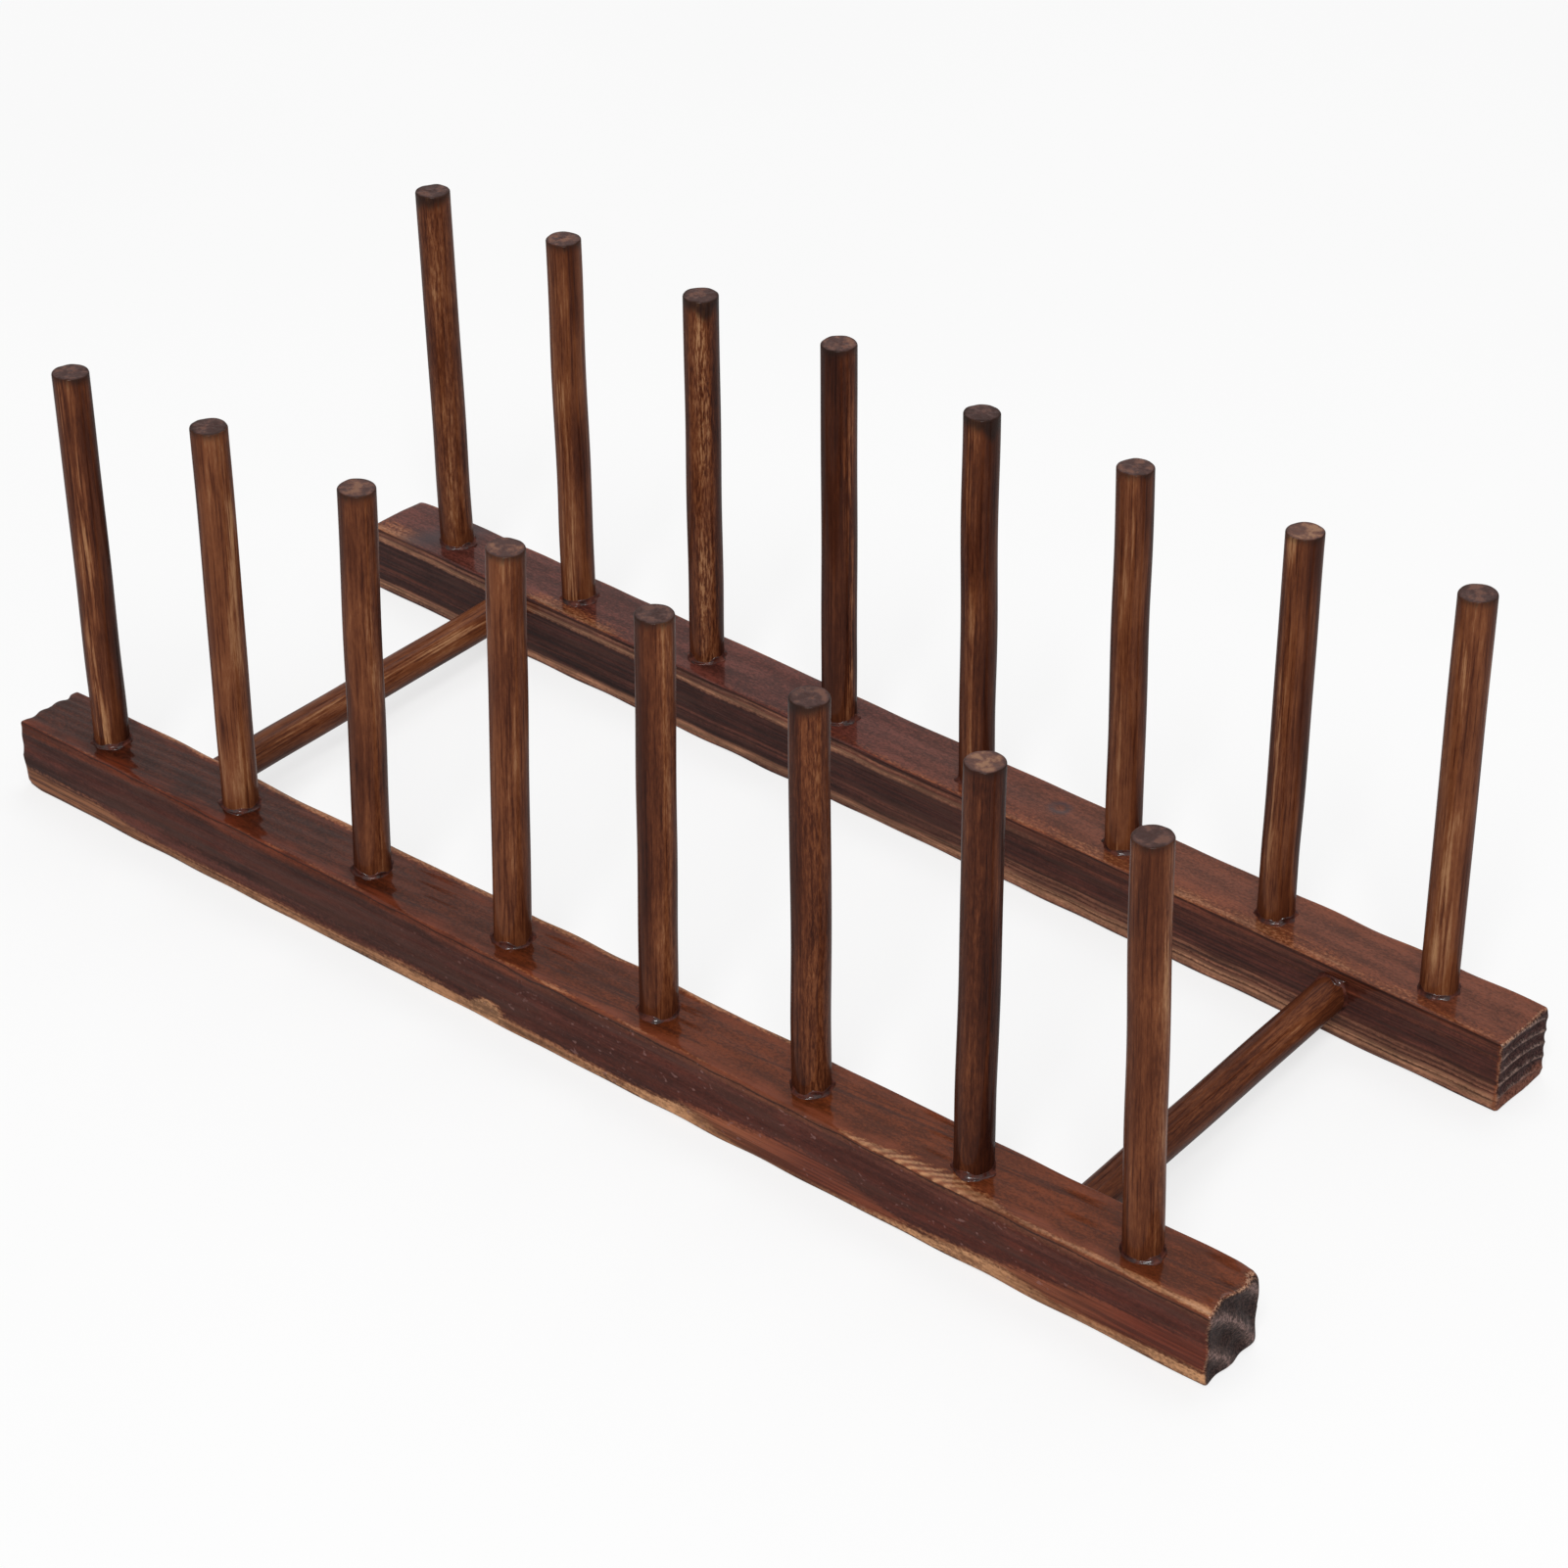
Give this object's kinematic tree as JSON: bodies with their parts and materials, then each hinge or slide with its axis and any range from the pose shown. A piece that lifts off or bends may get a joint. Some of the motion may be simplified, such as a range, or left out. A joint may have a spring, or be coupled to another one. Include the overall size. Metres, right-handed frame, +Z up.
{
  "type": "dish rack",
  "caption": "Table-top wooden rack that holds plates on edge between two rows of upright round pegs, standing on long rails joined by round stretchers.",
  "frame": {"origin": "on the table, under the middle of the rack's box", "axes": "+X along the rails, to the right as seen from the front; +Y to the back; +Z up"},
  "size_m": [0.3249, 0.1317, 0.1106],
  "materials": {
    "rail_wood": "scorched and brown-stained softwood under clear gloss varnish",
    "peg_wood": "scorched and brown-stained dowel with pale streaks under clear gloss varnish",
    "stretcher_wood": "scorched and brown-stained dowel under clear gloss varnish",
    "glue": "hardened clear glue and varnish over dark wood, high gloss"
  },
  "bodies": {
    "root": {"front_rail": "rail_wood", "back_rail": "rail_wood", "front_peg_1": "peg_wood", "front_peg_2": "peg_wood", "front_peg_3": "peg_wood", "front_peg_4": "peg_wood", "front_peg_5": "peg_wood", "front_peg_6": "peg_wood", "front_peg_7": "peg_wood", "front_peg_8": "peg_wood", "back_peg_1": "peg_wood", "back_peg_2": "peg_wood", "back_peg_3": "peg_wood", "back_peg_4": "peg_wood", "back_peg_5": "peg_wood", "back_peg_6": "peg_wood", "back_peg_7": "peg_wood", "back_peg_8": "peg_wood", "left_stretcher": "stretcher_wood", "right_stretcher": "stretcher_wood", "front_glue_bead_1": "glue", "front_glue_bead_2": "glue", "front_glue_bead_3": "glue", "front_glue_bead_4": "glue", "front_glue_bead_5": "glue", "front_glue_bead_6": "glue", "front_glue_bead_7": "glue", "front_glue_bead_8": "glue", "back_glue_bead_1": "glue", "back_glue_bead_2": "glue", "back_glue_bead_3": "glue", "back_glue_bead_4": "glue", "back_glue_bead_5": "glue", "back_glue_bead_6": "glue", "back_glue_bead_7": "glue", "back_glue_bead_8": "glue", "left_front_glue_bead": "glue", "left_back_glue_bead": "glue", "right_front_glue_bead": "glue", "right_back_glue_bead": "glue"}
  },
  "joints": []
}
